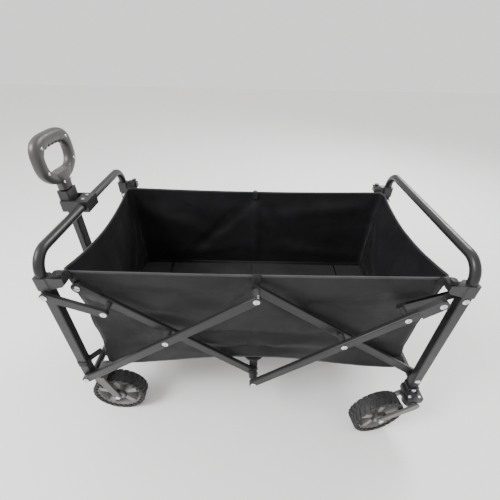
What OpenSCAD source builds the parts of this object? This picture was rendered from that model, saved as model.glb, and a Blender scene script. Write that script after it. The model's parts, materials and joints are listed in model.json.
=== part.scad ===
// Folding camp wagon: scissor side frames, end hoops, fabric tub, four wheels, telescopic handle.
// X runs along the wagon (handle end at -X), Y across it, Z up from the ground.

/* [Overall] */
// Distance along the wagon between the front and rear lower pivots
post_span = 870; // [700:5:1100]
// Distance across the wagon between post centres
frame_w = 471; // [360:1:600]
// Height of the lower pivots above the ground
pivot_h = 177; // [165:1:230]
// Height of the upper link pivots above the lower pivots
post_rise = 297; // [240:1:360]
// Distance between the lower pivots when folded
fold_span = 305; // [300:1:400]

/* [Posts and hoops] */
// Post size along the wagon
post_w = 23; // [18:1:30]
// Post size across the wagon
post_t = 21; // [18:1:30]
// Wall of posts, bars and tubes
tube_wall = 1.5; // [1:0.1:2.5]
// Outside diameter of the hoop tube
hoop_d = 21; // [16:1:26]
// Height of the hoop tube's centre above the upper link pivots
hoop_rise = 87; // [80:1:140]
// Bend radius of the hoop at its centre line
hoop_r = 44; // [30:1:46]
// Diameter of the lower cross tubes
cross_d = 18; // [14:1:19]
// Drop of the cross tubes below the lower pivots
cross_drop = 20; // [20:1:21]
// Length of the rear posts below the lower pivots
rear_post_drop = 45; // [40:1:60]

/* [Scissor bars] */
// Depth of a scissor bar seen from the side
bar_w = 21; // [16:1:26]
// Thickness of a scissor bar across the wagon
bar_t = 11; // [8:1:14]
// Corner radius of a scissor bar
bar_r = 2.5; // [1:0.5:4]
// Gap between a bar and the post beside it
bar_gap = 1; // [0.5:0.1:3]
// Distance of the bar crossings from the middle of the wagon
cross_x = 207; // [190:1:220]
// Drop of the centre hub below the lower pivots
hub_drop = 8; // [0:1:12]
// Distance of the bars' capped top ends from the middle of the wagon
cap_x = 383; // [360:1:395]
// Thickness of a short link
link_t = 8; // [5:0.5:10]
// Depth of a short link seen from the side
link_w = 19; // [14:1:22]
// Gap between a short link and the post beside it
link_gap = 2.5; // [1.5:0.5:4]

/* [Fasteners and fits] */
// Diameter of the pivot bolts
bolt_d = 8; // [6:1:10]
// Diameter of the bolt heads
head_d = 14; // [12:1:16]
// Height of the bolt heads
head_h = 3.5; // [2:0.5:5]
// Radial clearance of a running hole
fit = 0.05; // [0.01:0.01:0.1]
// Gap between faces that slide past each other
face_gap = 0.4; // [0.3:0.1:0.8]
// Radial clearance of the opened pivot in the outer bar at the hub
open_fit = 2.8; // [2.7:0.1:3]

/* [Wheels] */
// Outside diameter of a tyre
tyre_d = 144; // [120:1:150]
// Width of a tyre
tyre_w = 38; // [28:1:44]
// Radial depth of a tyre
tyre_h = 10; // [8:1:20]
// Number of wheel spokes
spokes = 5; // [4:1:7]
// Diameter of the axles
axle_d = 8; // [6:1:10]
// Thickness of a fork arm
fork_t = 5; // [4:0.5:7]
// Side gap between a wheel and its fork
wheel_gap = 2; // [1:0.5:4]
// Distance of the front axles behind the front posts
front_trail = 53; // [45:1:60]
// Width of a wheel spoke's web
spoke_t = 25; // [10:1:27]
// Distance of the caster axles from their swivel axis
caster_trail = 95; // [91:1:100]
// Distance of the casters' swivel axes outside the rear posts
caster_out = 18; // [0:1:18]
// Angle of the casters from straight, in degrees
caster_turn = 12; // [0:1:60]

/* [Tub] */
// Room between a post's centre and the tub's inside, along the wagon
tub_end_room = 32; // [30:1:50]
// Room between a post's centre and the tub's outside, across the wagon
tub_side_room = 29.5; // [29:0.5:50]
// Height of the tub's rim above the ground
rim_h = 507; // [440:1:560]
// Outward lean of the tub's end walls at the rim
flare = 12; // [0:1:14]
// Thickness of the fabric walls
cloth_t = 4; // [2:0.5:6]
// Height of the floor boards' top face above the lower pivots
floor_rise = 40; // [36:1:50]
// Thickness of a floor board
board_t = 5; // [3:0.5:6]
// Length of an outer floor board
outer_board_l = 98; // [70:1:100]
// Room between the floor boards and the tub's outside, on each side
board_room = 11; // [8:0.5:30]

/* [Handle] */
// Width of the handle's outer tube across the wagon
stick_w = 30; // [24:1:36]
// Thickness of the handle's outer tube
stick_t = 17; // [14:1:20]
// Distance of the stowed handle in front of the posts
stick_out = 40; // [36:1:48]
// Length of the handle's outer tube above its pivot
stick_l = 408; // [340:1:440]
// Travel of the telescopic handle
pull_l = 300; // [200:5:320]
// Width of the grip
grip_w = 150; // [130:1:160]
// Height of the grip's loop
grip_h = 112; // [96:1:120]
// Thickness of the grip
grip_t = 24; // [22:1:32]

/* [Hidden] */
$fn = 48;

steel = "#26262a";
plastic = "#3a3a3e";
zinc = "#c8c8cc";
cloth = "#2c2c30";
wheel_grey = "#6d6d72";
tread = "#1c1c1e";

// Side layers, measured out from the middle of the wagon
post_y = frame_w / 2;
outer_y = post_y + post_t / 2 + bar_gap + bar_t / 2;
inner_y = post_y - post_t / 2 - bar_gap - bar_t / 2;
front_link_y = post_y + post_t / 2 + link_gap + link_t / 2;
rear_link_y = post_y - post_t / 2 - link_gap - link_t / 2;
outer_face = outer_y + bar_t / 2;
inner_face = inner_y - bar_t / 2;
spacer_d = 16;
nut_h = 3;

// The handle reaches further than the rear hoop, so the wagon's middle sits off the origin
pivot_set = 4;
eye_d = 26;
socket_w = 44;
front_reach = post_span / 2 + stick_out + pivot_set + eye_d / 2;
rear_reach = post_span / 2 + socket_w / 2;
tub_l = post_span - 2 * tub_end_room;
tub_w = frame_w - 2 * tub_side_room;
board_w = tub_w - 2 * board_room;
mid = (front_reach - rear_reach) / 2;
xf = mid - post_span / 2;
xr = mid + post_span / 2;

// Scissor geometry at rest, as distances from the middle and heights above the ground
top_z = pivot_h + post_rise;
hub_z = pivot_h - hub_drop;
cross_z = pivot_h + post_rise * (1 - 2 * cross_x / post_span);
outer_a = atan(2 * post_rise / post_span);
inner_a = atan((cross_z - hub_z) / cross_x);
outer_l = norm([post_span / 2, post_rise]);
low_l = (cross_z - pivot_h) / sin(outer_a);
high_l = outer_l - low_l;
hub_l = norm([cross_x, cross_z - hub_z]);
cap_l = (cap_x - cross_x) / cos(inner_a);
// Folded angles, the inner bars keeping their hub under the apex
outer_a1 = acos(fold_span / 2 / outer_l);
inner_a1 = acos(high_l * cos(outer_a1) / hub_l);
// The link pivot lies where its distance to the post pivot is the same open and folded
d0 = [post_span / 2 - cross_x, cross_z - top_z];
d1 = [low_l * cos(outer_a1), pivot_h + low_l * sin(outer_a1) - top_z];
u0 = [-cos(inner_a), sin(inner_a)];
u1 = [-cos(inner_a1), sin(inner_a1)];
link_at = (d0 * d0 - d1 * d1) / (2 * (d1 * u1 - d0 * u0));
link_x = cross_x + link_at * cos(inner_a);
link_z = cross_z + link_at * sin(inner_a);
link_v = [post_span / 2 - link_x, link_z - top_z];
link_l = norm(link_v);
link_a = atan(link_v[1] / link_v[0]);

axle_z = tyre_d / 2;
wheel_y = post_y + post_t / 2 - fork_t - wheel_gap - tyre_w / 2;
arm_y = tyre_w / 2 + wheel_gap;
rim_r = tyre_d / 2 - tyre_h;
cross_tube_z = pivot_h - cross_drop;
hoop_z = top_z + hoop_rise;
floor_z = pivot_h + floor_rise;
bracket_z0 = top_z + 10;
bracket_h = 32;
hoop_in = 18;
hinge_x = 9;
bracket_side = 3;
clip_wall = 5;
cloth_drop = 3;
pad_top = floor_z - board_t - cloth_drop;
pad_d = 56;
pad_t = 6;
stick_z0 = pivot_h + 8;
stick_pivot_x = xf - stick_out - pivot_set;
stick_mid = xf - stick_out;
stick_z1 = stick_z0 + stick_l;
rod_w = stick_w - 2 * tube_wall - 1;
rod_t = stick_t - 2 * tube_wall - 1;
collar_h = 40;
collar_side = 7;
collar_w = stick_w + 2 * collar_side;
grip_z0 = stick_z1 + 8;
neck_h = 24;

// Near side at -Y and its mirror at +Y
module both_sides() {
    children();
    mirror([0, 1, 0]) children();
}

// Rectangle with round corners, centred
module round_rect(w, h, r) {
    square([w - 2 * r, h], center = true);
    square([w, h - 2 * r], center = true);
    for (x = [-1, 1])
        for (y = [-1, 1])
            translate([x * (w / 2 - r), y * (h / 2 - r)]) circle(r);
}

// Slot shape lying along +X from its first centre
module slot_2d(l, w) {
    circle(d = w);
    translate([l, 0]) circle(d = w);
    translate([0, -w / 2]) square([l, w]);
}

// Cylinder along Y, from y0 towards +Y
module y_rod(d, y0, l) {
    translate([0, y0, 0]) rotate([-90, 0, 0]) cylinder(d = d, h = l);
}

// Domed bolt lying along Y, its head towards -Y with its underside at y0, shank to y1
module bolt(y0, y1, nut = true) {
    translate([0, y0, 0]) rotate([90, 0, 0]) difference() {
        rotate_extrude() intersection() {
            translate([0, head_h - head_d * 0.9]) circle(head_d * 0.9);
            square([head_d / 2, head_h]);
        }
        translate([0, 0, head_h - 2]) cylinder(d = head_d * 0.36, h = 3, $fn = 6);
    }
    y_rod(bolt_d, y0, y1 - y0);
    if (nut)
        y_rod(head_d - 1, y1 - nut_h, nut_h);
}

// Hollow bar along +X between two pivots, centred on Y, with holes at given distances
module bar(l, holes, hole_d) {
    difference() {
        intersection() {
            translate([-bar_w / 2, 0, 0])
                rotate([90, 0, 90]) linear_extrude(l + bar_w) round_rect(bar_t, bar_w, bar_r);
            rotate([90, 0, 0]) linear_extrude(bar_t, center = true) slot_2d(l, bar_w);
        }
        cavity_end = bar_w / 2 - tube_wall - 2;
        translate([-cavity_end, 1.5 - bar_t / 2, tube_wall - bar_w / 2 + 2])
            cube([l + 2 * cavity_end, bar_t - 2 * tube_wall, bar_w - 2 * tube_wall - 4]);
        for (i = [0 : len(holes) - 1])
            translate([holes[i], 0, 0]) y_rod(hole_d[i], -bar_t, 2 * bar_t);
    }
}

free_hole = bolt_d + 2 * fit;
open_hole = bolt_d + 2 * open_fit;

// Puts a bar that starts at (x, z) and rises at angle a towards +X, on the side layer y
module lay(x, y, z, a) {
    translate([x, -y, z]) rotate([0, -a, 0]) children();
}

module front_outer_bars() {
    color(steel) both_sides() lay(xf, outer_y, pivot_h, outer_a)
        bar(outer_l, [0, low_l, outer_l], [free_hole, bolt_d, bolt_d]);
}

module rear_inner_bars() {
    color(steel) both_sides() lay(xr, inner_y, pivot_h, 180 - outer_a)
        bar(outer_l, [0, low_l, outer_l], [free_hole, bolt_d, free_hole]);
}

module front_inner_bars() {
    color(steel) both_sides() lay(mid, inner_y, hub_z, 180 - inner_a)
        bar(hub_l + cap_l, [0, hub_l, hub_l + cap_l], [free_hole, free_hole, bolt_d]);
}

module rear_outer_bars() {
    color(steel) both_sides() lay(mid, outer_y, hub_z, inner_a)
        bar(hub_l + cap_l, [0, hub_l, hub_l + link_at, hub_l + cap_l],
            [open_hole, free_hole, bolt_d, bolt_d]);
}

// Plastic shoe over a bar's top end
cap_len = 46;
cap_wall = 1.2;
module bar_cap() {
    difference() {
        translate([-cap_len, 0, 0]) rotate([90, 0, 0])
            linear_extrude(bar_t - 2 * face_gap + 2 * cap_wall, center = true)
            difference() {
                slot_2d(cap_len, bar_w + 5);
                translate([-bar_w, -bar_w]) square([bar_w, 2 * bar_w]);
            }
        translate([-cap_len - bar_w, -bar_t / 2, -bar_w / 2])
            cube([cap_len + bar_w, bar_t, bar_w]);
        y_rod(bar_w, -bar_t / 2, bar_t);
        y_rod(bolt_d, -bar_t, 2 * bar_t);
    }
}

module front_bar_caps() {
    color(plastic) both_sides() lay(mid, inner_y, hub_z, 180 - inner_a)
        translate([hub_l + cap_l, 0, 0]) bar_cap();
}

module rear_bar_caps() {
    color(plastic) both_sides() lay(mid, outer_y, hub_z, inner_a)
        translate([hub_l + cap_l, 0, 0]) bar_cap();
}

cap_half = bar_t / 2 - face_gap + cap_wall;
cap_z = hub_z + (hub_l + cap_l) * sin(inner_a);

module front_cap_bolts() {
    color(zinc) both_sides() translate([mid - cap_x, 0, cap_z])
        bolt(-inner_y - cap_half, cap_half - inner_y, false);
}

// Bolt through both bar layers with a spacer tube between them
module bar_bolt(gap_out, nut_end) {
    bolt(-outer_face - gap_out, nut_end);
    difference() {
        y_rod(spacer_d, bar_t - outer_face + face_gap, outer_y - inner_y - bar_t - 2 * face_gap);
        y_rod(bolt_d, -outer_face, outer_y);
    }
}

// Crossing bolts and apex bolts, fixed in the front outer bars
module front_outer_bolts() {
    color(zinc) both_sides() {
        translate([mid - cross_x, 0, cross_z]) bar_bolt(0, nut_h + face_gap - inner_face);
        translate([mid, 0, top_z]) bar_bolt(0, nut_h + face_gap - inner_face);
    }
}

// Crossing bolts of the rear half, fixed in the inner bars
module rear_inner_bolts() {
    color(zinc) both_sides() translate([mid + cross_x, 0, cross_z])
        bar_bolt(face_gap, nut_h - inner_face);
}

// Cap bolts and the headed link studs of the rear outer bars
module rear_outer_bolts() {
    stud_end = -(rear_link_y + link_t / 2 + face_gap);
    color(zinc) both_sides() {
        translate([mid + cap_x, 0, cap_z]) bolt(-outer_y - cap_half, cap_half - outer_y, false);
        translate([mid + link_x, 0, link_z]) {
            bolt(-outer_face, stud_end, false);
            difference() {
                y_rod(spacer_d - 3, bar_t - outer_face, stud_end + outer_face - bar_t);
                y_rod(bolt_d, -outer_face, outer_y);
            }
        }
    }
}

// Short link along +X from its post pivot, hollow like a channel open below
module link(post_hole, far_hole) {
    difference() {
        rotate([90, 0, 0]) linear_extrude(link_t, center = true) slot_2d(link_l, link_w);
        translate([link_w / 2 + 2, 1.5 - link_t / 2, -link_w])
            cube([link_l - link_w - 4, link_t - 3, 2 * link_w - link_w / 2 - 1.5]);
        y_rod(post_hole, -link_t, 2 * link_t);
        translate([link_l, 0, 0]) y_rod(far_hole, -link_t, 2 * link_t);
    }
}

module front_links() {
    color(steel) both_sides() lay(xf, front_link_y, top_z, link_a) link(free_hole, bolt_d);
}

module rear_links() {
    color(steel) both_sides() lay(xr, rear_link_y, top_z, 180 - link_a) link(free_hole, bolt_d);
}

// Link studs that stand against the front inner bars
module front_link_bolts() {
    stud_end = -(inner_y + cap_half + face_gap);
    link_face = front_link_y + link_t / 2;
    color(zinc) both_sides() translate([mid - link_x, 0, link_z]) {
        bolt(-link_face, stud_end, false);
        difference() {
            y_rod(spacer_d - 3, link_t - link_face, stud_end + link_face - link_t);
            y_rod(bolt_d, -link_face, outer_y);
        }
    }
}

// Square post with its top at the bracket, drilled for its pivots
module post(x, z0, holes) {
    difference() {
        translate([x, -post_y, z0]) linear_extrude(bracket_z0 - z0) difference() {
            round_rect(post_w, post_t, 3);
            round_rect(post_w - 2 * tube_wall, post_t - 2 * tube_wall, 1.6);
        }
        for (z = holes)
            translate([x, -outer_y - post_t, z]) y_rod(bolt_d, 0, 3 * post_t);
    }
}

front_post_z0 = pivot_h - 17;
rear_post_z0 = pivot_h - rear_post_drop;
socket_wall = 4;
socket_cup_h = 15;
socket_bolt_z = rear_post_z0 + socket_cup_h / 2;

module front_posts() {
    color(steel) both_sides() post(xf, front_post_z0, [pivot_h, top_z]);
}

module rear_posts() {
    color(steel) both_sides() post(xr, rear_post_z0, [socket_bolt_z, pivot_h, top_z]);
}

// Inverted U tube across the wagon at x
module hoop(x) {
    leg_z0 = bracket_z0 + bracket_h - hoop_in;
    bend_y = post_y - hoop_r;
    bend_z = hoop_z - hoop_r;
    for (s = [-1, 1]) {
        translate([x, s * post_y, leg_z0]) linear_extrude(bend_z - leg_z0) hoop_ring();
        translate([x, s * bend_y, bend_z]) rotate([90, 0, 90])
            rotate([0, 0, s > 0 ? 0 : 90]) rotate_extrude(angle = 90)
            translate([hoop_r, 0]) hoop_ring();
    }
    translate([x, bend_y, hoop_z]) rotate([90, 0, 0]) linear_extrude(2 * bend_y) hoop_ring();
}

module hoop_ring() {
    difference() {
        circle(d = hoop_d);
        circle(d = hoop_d - 2 * tube_wall);
    }
}

module front_hoop() { color(steel) hoop(xf); }
module rear_hoop() { color(steel) hoop(xr); }

// Sleeve that joins a hoop leg to a post, with an arm towards the tub's corner
bracket_t = post_t + 2 * link_gap - 2;
arm_reach = 46;
arm_t = bracket_t - 7;
arm_shift = 2;
peg_h = 18;
module corner_bracket() {
    difference() {
        union() {
            linear_extrude(bracket_h) round_rect(post_w + 2 * bracket_side, bracket_t, 4);
            translate([0, 0, -peg_h]) linear_extrude(peg_h)
                round_rect(post_w - 2 * tube_wall, post_t - 2 * tube_wall, 1.6);
            translate([post_w / 2, -arm_shift, 0]) rotate([90, 0, 0])
                linear_extrude(arm_t, center = true)
                polygon([[0, 2], [arm_reach - post_w / 2 - 6, 10], [arm_reach - post_w / 2, 16],
                    [arm_reach - post_w / 2, bracket_h], [0, bracket_h]]);
            translate([arm_reach - 7, 0, bracket_h]) cylinder(d = 9, h = 7);
            translate([arm_reach - 7, 0, bracket_h + 7]) cylinder(d = 13, h = 3);
        }
        translate([0, 0, bracket_h - hoop_in]) cylinder(d = hoop_d, h = hoop_in + 1);
        translate([0, -post_t, top_z - bracket_z0]) y_rod(bolt_d, 0, 2 * post_t);
    }
}

module front_brackets() {
    color(plastic) both_sides() translate([xf, -post_y, bracket_z0]) corner_bracket();
}

module rear_brackets() {
    color(plastic) both_sides() translate([xr, -post_y, bracket_z0])
        mirror([1, 0, 0]) corner_bracket();
}

// Tube between the posts with a flat plate welded on each end
module cross_tube(x) {
    half = post_y - post_t / 2;
    difference() {
        union() {
            translate([x, 0, cross_tube_z]) y_rod(cross_d, -half, 2 * half);
            for (s = [-1, 1])
                translate([x - post_w / 2, s * (half - 2) - 2, cross_tube_z - cross_d / 2])
                    cube([post_w, 4, cross_d / 2]);
        }
        translate([x, 0, cross_tube_z]) y_rod(cross_d - 2 * tube_wall, -half - 1, 2 * half + 2);
    }
}

module front_cross_tube() { color(steel) cross_tube(xf); }
module rear_cross_tube() { color(steel) cross_tube(xr); }

// Bolts that stay in the front posts: lower bar pivots and upper link pivots
module front_pivot_bolts() {
    color(zinc) both_sides() {
        translate([xf, 0, pivot_h]) bolt(-outer_face - face_gap, nut_h + post_t / 2 - post_y);
        translate([xf, 0, top_z])
            bolt(-front_link_y - link_t / 2 - face_gap, nut_h + post_t / 2 - post_y);
    }
}

// Bolts that stay in the rear posts, their nuts inside the bars and links they carry
module rear_pivot_bolts() {
    color(zinc) both_sides() {
        translate([xr, 0, pivot_h])
            bolt(-post_y - post_t / 2, nut_h + face_gap - inner_face);
        translate([xr, 0, top_z])
            bolt(-post_y - post_t / 2, nut_h + face_gap + link_t / 2 - rear_link_y);
        translate([xr, 0, socket_bolt_z])
            bolt(-post_y - post_t / 2 - socket_wall, post_t / 2 + socket_wall - post_y, false);
    }
}

// Fork arm outline from its head at the origin to the axle at (l, -drop)
module arm_2d(l, drop, w0, w1) {
    a = atan(drop / l);
    rotate(-a) {
        circle(d = w0);
        translate([norm([l, drop]), 0]) circle(d = w1);
        polygon([[0, w0 / 2], [0, -w0 / 2], [norm([l, drop]), -w1 / 2], [norm([l, drop]), w1 / 2]]);
    }
}

front_head_z = pivot_h - 18;
crown_l = 26;
module front_forks() {
    crown_x = xf + post_w / 2;
    head_x = crown_x + crown_l / 2;
    color(plastic) both_sides() difference() {
        union() {
            for (s = [-1, 1])
                translate([head_x, s * (arm_y + fork_t / 2) - wheel_y, front_head_z])
                    rotate([90, 0, 0]) linear_extrude(fork_t, center = true)
                    arm_2d(xf + front_trail - head_x, front_head_z - axle_z, 24, 18);
            translate([crown_x, -wheel_y - arm_y - fork_t, front_head_z - 9])
                cube([crown_l, 2 * (arm_y + fork_t), 18]);
        }
        translate([xf + front_trail, 0, axle_z]) y_rod(axle_d, -frame_w, frame_w);
    }
}

module front_axles() {
    color(zinc) both_sides() translate([xf + front_trail, 0, axle_z])
        axle_bolt(-wheel_y);
}

// Axle through a fork and wheel centred at y, domed head outside, nut inside
module axle_bolt(y) {
    half = arm_y + fork_t;
    translate([0, y, 0]) {
        y_rod(axle_d, -half, 2 * half);
        y_rod(axle_d + 5, -half - 3, 3);
        y_rod(axle_d + 5, half, 3);
    }
}

// Wheel centred on the origin, spinning about Y
module wheel_body() {
    rotate([90, 0, 0]) difference() {
        union() {
            difference() {
                cylinder(r = rim_r, h = tyre_w - 8, center = true, $fn = 96);
                cylinder(r = rim_r - 5, h = tyre_w, center = true, $fn = 96);
            }
            cylinder(d = 30, h = tyre_w + wheel_gap, center = true);
            for (i = [0 : spokes - 1])
                rotate(i * 360 / spokes + 90)
                    linear_extrude(spoke_t, center = true)
                    polygon([[10, -5], [rim_r - 3, -9], [rim_r - 3, 9], [10, 5]]);
        }
        cylinder(d = axle_d + 2 * fit, h = 2 * tyre_w, center = true);
    }
}

module tyre_body() {
    half = tyre_w / 2;
    rotate([90, 0, 0]) rotate_extrude($fn = 96)
        polygon([[rim_r, 4 - half], [tyre_d / 2 - 6, -half], [tyre_d / 2 - 1.5, 3 - half],
            [tyre_d / 2, 8 - half], [tyre_d / 2, half - 8], [tyre_d / 2 - 1.5, half - 3],
            [tyre_d / 2 - 6, half], [rim_r, half - 4]]);
}

module at_front_wheel(s) { translate([xf + front_trail, s * wheel_y, axle_z]) children(); }

// Caster frame: its swivel axis over the origin, wheel trailing towards -X, turned outwards
module at_caster(s) {
    translate([xr, s * (post_y + caster_out), 0]) rotate(-s * caster_turn) children();
}

module at_rear_wheel(s) { at_caster(s) translate([-caster_trail, 0, axle_z]) children(); }

module front_near_tyre() { color(tread) at_front_wheel(-1) tyre_body(); }
module front_far_tyre() { color(tread) at_front_wheel(1) tyre_body(); }
module front_near_wheel() { color(wheel_grey) at_front_wheel(-1) wheel_body(); }
module front_far_wheel() { color(wheel_grey) at_front_wheel(1) wheel_body(); }
module rear_near_tyre() { color(tread) at_rear_wheel(-1) tyre_body(); }
module rear_far_tyre() { color(tread) at_rear_wheel(1) tyre_body(); }
module rear_near_wheel() { color(wheel_grey) at_rear_wheel(-1) wheel_body(); }
module rear_far_wheel() { color(wheel_grey) at_rear_wheel(1) wheel_body(); }

stem_d = 12;
stem_in = 10;
socket_base = 12;
socket_z0 = rear_post_z0 - socket_base;
fork_head_h = 26;
fork_head_z0 = socket_z0 - face_gap - fork_head_h;
socket_in = post_t / 2 + socket_wall;
socket_out = caster_out + 20;

// Blocks on the rear posts that carry the caster stems
module caster_sockets() {
    color(plastic) both_sides() translate([xr, -post_y, socket_z0]) difference() {
        union() {
            translate([0, (socket_in - socket_out) / 2, 0])
                linear_extrude(socket_base) round_rect(socket_w, socket_in + socket_out, 8);
            translate([0, 0, socket_base])
                linear_extrude(socket_cup_h) round_rect(post_w + 2 * socket_wall, post_t + 2 * socket_wall, 4);
        }
        translate([0, 0, socket_base])
            linear_extrude(2 * socket_cup_h) square([post_w, post_t], center = true);
        translate([0, -caster_out, -1]) cylinder(d = stem_d + 2 * fit, h = stem_in + 1.5);
        translate([0, 0, socket_bolt_z - socket_z0]) y_rod(bolt_d, -2 * post_t, 4 * post_t);
    }
}

module caster_fork() {
    head_r = 19;
    drop = fork_head_z0 + fork_head_h / 2 - axle_z;
    difference() {
        union() {
            translate([0, 0, fork_head_z0]) cylinder(r = head_r, h = fork_head_h);
            translate([0, 0, fork_head_z0 + fork_head_h]) cylinder(d = stem_d, h = stem_in);
            translate([-12, -arm_y - fork_t, fork_head_z0])
                cube([14, 2 * (arm_y + fork_t), fork_head_h]);
            for (s = [-1, 1])
                translate([-2, s * (arm_y + fork_t / 2), fork_head_z0 + fork_head_h / 2])
                    rotate([90, 0, 0]) linear_extrude(fork_t, center = true)
                    mirror([1, 0]) arm_2d(caster_trail - 2, drop, fork_head_h, 18);
        }
        translate([-caster_trail, 0, axle_z]) y_rod(axle_d, -tyre_w, 2 * tyre_w);
        translate([-caster_trail, 0, axle_z]) y_rod(tyre_d + 5, -arm_y, 2 * arm_y);
    }
}

module near_caster_fork() { color(plastic) at_caster(-1) caster_fork(); }
module far_caster_fork() { color(plastic) at_caster(1) caster_fork(); }
module near_caster_axle() {
    color(zinc) at_caster(-1) translate([-caster_trail, 0, axle_z]) axle_bolt(0);
}
module far_caster_axle() {
    color(zinc) at_caster(1) translate([-caster_trail, 0, axle_z]) axle_bolt(0);
}

// Centre hub: a clevis round the inner bars' lower end that carries a pad and the hub tube
plate_t = 4;
hub_in_y = inner_face - face_gap - plate_t;
hub_out_y = inner_y + bar_t / 2 + face_gap;
module hub_brackets() {
    low = hub_z - bar_w / 2 - 3;
    color(plastic) both_sides() difference() {
        union() {
            for (y = [hub_out_y, hub_in_y])
                translate([mid, -y, hub_z]) rotate([90, 0, 0])
                    linear_extrude(plate_t) circle(d = bar_w + 4);
            for (y = [hub_out_y, hub_in_y])
                translate([mid - 11, -y - plate_t, low - 4]) cube([22, plate_t, hub_z - low]);
            translate([mid - 11, -hub_out_y - plate_t, low - 4])
                cube([22, hub_out_y - hub_in_y + plate_t, 4]);
            translate([mid - 11, -hub_in_y - plate_t, hub_z])
                cube([22, plate_t, pad_top - pad_t - hub_z]);
            translate([mid - 11, -hub_in_y - plate_t, pad_top - pad_t - plate_t])
                cube([22, pad_d * 0.7, plate_t]);
        }
        translate([mid, 0, hub_z]) y_rod(bolt_d, -frame_w, frame_w);
    }
}

module hub_tube() {
    color(steel) translate([mid, 0, hub_z]) difference() {
        y_rod(18, -hub_in_y, 2 * hub_in_y);
        y_rod(18 - 2 * tube_wall, -hub_in_y - 1, 2 * hub_in_y + 2);
    }
}

module hub_pins() {
    color(zinc) both_sides() translate([mid, 0, hub_z]) {
        bolt(-outer_face - face_gap, -hub_in_y, false);
        difference() {
            y_rod(spacer_d, bar_t - outer_face + face_gap,
                outer_face - bar_t - 2 * face_gap - hub_out_y - plate_t + face_gap);
            y_rod(bolt_d, -frame_w, frame_w);
        }
    }
}

module support_pads() {
    pad_y = inner_face - pad_d / 2 - bar_gap;
    color(plastic) both_sides() translate([mid, -pad_y, pad_top - pad_t]) cylinder(d = pad_d, h = pad_t);
}

// Boards under the cargo: edge boards stay with the end frames, the others rise from the hub
module edge_board(x) {
    translate([x, -board_w / 2, floor_z - board_t]) cube([outer_board_l, board_w, board_t]);
}

edge_x = tub_l / 2 - 4;
module front_edge_board() { color(cloth) edge_board(mid - edge_x); }
module rear_edge_board() { color(cloth) edge_board(mid + edge_x - outer_board_l); }

board_l = edge_x - outer_board_l - 5 - hinge_x;
module front_floor_board() {
    color(cloth) translate([mid - hinge_x - board_l, -board_w / 2, floor_z - board_t])
        cube([board_l, board_w, board_t]);
}
module rear_floor_board() {
    color(cloth) translate([mid + hinge_x, -board_w / 2, floor_z - board_t])
        cube([board_l, board_w, board_t]);
}

// Fabric tub: end walls ride on the end frames, side walls gather between them
wall_z0 = floor_z - 22;
module end_wall() {
    half = tub_w / 2 - cloth_t - 0.5;
    translate([tub_l / 2, half, 0]) rotate([90, 0, 0]) linear_extrude(2 * half)
        polygon([[0, wall_z0], [cloth_t, wall_z0], [cloth_t + flare, rim_h], [flare, rim_h]]);
}
module front_end_wall() { color(cloth) translate([mid, 0, 0]) mirror([1, 0, 0]) end_wall(); }
module rear_end_wall() { color(cloth) translate([mid, 0, 0]) end_wall(); }

module side_walls() {
    half = tub_l / 2;
    over_pad = pad_d / 2 + 10;
    hem_z = pad_top + 4;
    color(cloth) both_sides() translate([mid, cloth_t - tub_w / 2, 0]) rotate([90, 0, 0])
        linear_extrude(cloth_t)
        polygon([[-half - flare, rim_h], [half + flare, rim_h], [half, wall_z0],
            [half, wall_z0 - 16], [half * 0.5, wall_z0 + 4], [over_pad, hem_z], [-over_pad, hem_z],
            [-half * 0.5, wall_z0 + 4], [-half, wall_z0 - 16], [-half, wall_z0]]);
}

// Handle, standing stowed in front of the front hoop
module stick_tube(z0, z1, w, t, wall) {
    translate([stick_mid, 0, z0]) linear_extrude(z1 - z0) difference() {
        round_rect(t, w, 3);
        round_rect(t - 2 * wall, w - 2 * wall, 1.8);
    }
}

ear_t = 4;
module handle_bracket() {
    reach = xf - stick_pivot_x;
    ear_y = stick_w / 2 + face_gap;
    color(plastic) difference() {
        union() {
            for (s = [-1, 1])
                translate([stick_pivot_x, s * (ear_y + ear_t / 2), stick_z0]) rotate([90, 0, 0])
                    linear_extrude(ear_t, center = true) union() {
                        circle(d = eye_d);
                        polygon([[-9, -9], [reach, cross_tube_z - stick_z0 - 14],
                            [reach, cross_tube_z - stick_z0 + 14], [6, 11]]);
                    }
            translate([xf, 0, cross_tube_z]) y_rod(cross_d + 12, -ear_y - ear_t, 2 * (ear_y + ear_t));
        }
        translate([xf, 0, cross_tube_z]) y_rod(cross_d, -frame_w, 2 * frame_w);
        translate([stick_pivot_x, 0, stick_z0]) y_rod(bolt_d, -stick_w, 2 * stick_w);
    }
}

module handle_pin() {
    half = stick_w / 2 + face_gap + ear_t;
    color(zinc) translate([stick_pivot_x, 0, stick_z0]) {
        y_rod(bolt_d, -half, 2 * half);
        for (s = [-1, 1])
            y_rod(head_d, s * (half + 1.5) - 1.5, 3);
    }
}

// Clip on the hoop that the stowed handle snaps into, open towards the front
clip_h = 28;
module handle_clip() {
    gap = collar_w / 2 + 0.5;
    back = hoop_d / 2 + clip_wall;
    color(plastic) difference() {
        union() {
            translate([xf - back, -gap - clip_wall, hoop_z - clip_h / 2])
                cube([back + hoop_d / 2 + clip_wall, 2 * (gap + clip_wall), clip_h]);
            for (s = [-1, 1])
                translate([stick_mid - stick_t / 2 - 3, s * (gap + clip_wall / 2) - clip_wall / 2,
                        hoop_z - clip_h / 2])
                    cube([xf - back - stick_mid + stick_t / 2 + 4, clip_wall, clip_h]);
        }
        translate([xf, 0, hoop_z]) y_rod(hoop_d, -frame_w, 2 * frame_w);
        for (s = [-1, 1])
            translate([xf, s * 12, hoop_z]) cylinder(d = 4, h = clip_h);
    }
}

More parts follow.
